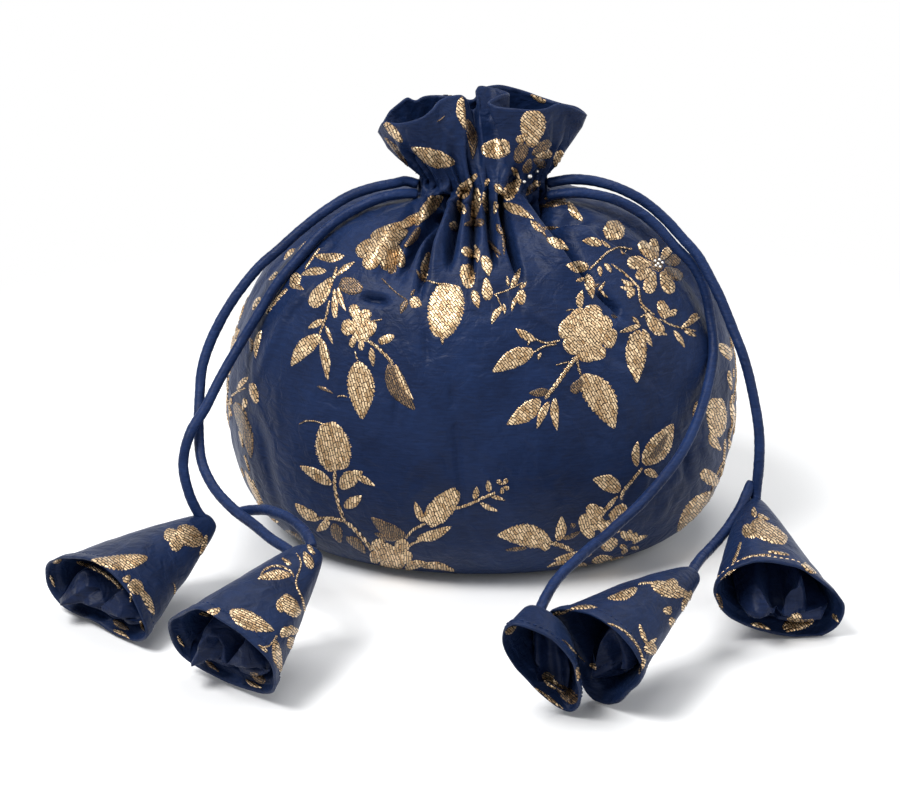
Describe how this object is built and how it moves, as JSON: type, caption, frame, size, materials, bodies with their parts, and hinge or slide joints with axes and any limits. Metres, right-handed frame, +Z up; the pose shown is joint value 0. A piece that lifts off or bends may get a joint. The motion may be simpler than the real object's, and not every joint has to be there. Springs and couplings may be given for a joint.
{
  "type": "potli bag",
  "caption": "Stuffed drawstring pouch of floral silk brocade with a two-lobed frill and cone tassels on fabric cords.",
  "frame": {"origin": "on the surface that the bag stands on, under the middle of its body", "axes": "+X to the bag's right as seen from the front, -Y towards the front where the tassels lie, +Z up"},
  "size_m": [0.3409, 0.2967, 0.199],
  "materials": {
    "brocade": "satin",
    "tassel_cloth": "satin",
    "bud_cloth": "satin",
    "piping": "satin"
  },
  "bodies": {
    "root": {"bag": "brocade", "tassel_far_left": "tassel_cloth", "bud_far_left": "bud_cloth", "tassel_front_left": "tassel_cloth", "bud_front_left": "bud_cloth", "tassel_rear_right": "tassel_cloth", "bud_rear_right": "bud_cloth", "tassel_front_right": "tassel_cloth", "bud_front_right": "bud_cloth", "tassel_far_right": "tassel_cloth", "bud_far_right": "bud_cloth", "cord_left_outer": "piping", "cord_left_inner": "piping", "cord_left_branch": "piping", "cord_right_outer": "piping", "cord_right_inner": "piping", "cord_right_branch": "piping"}
  },
  "joints": []
}
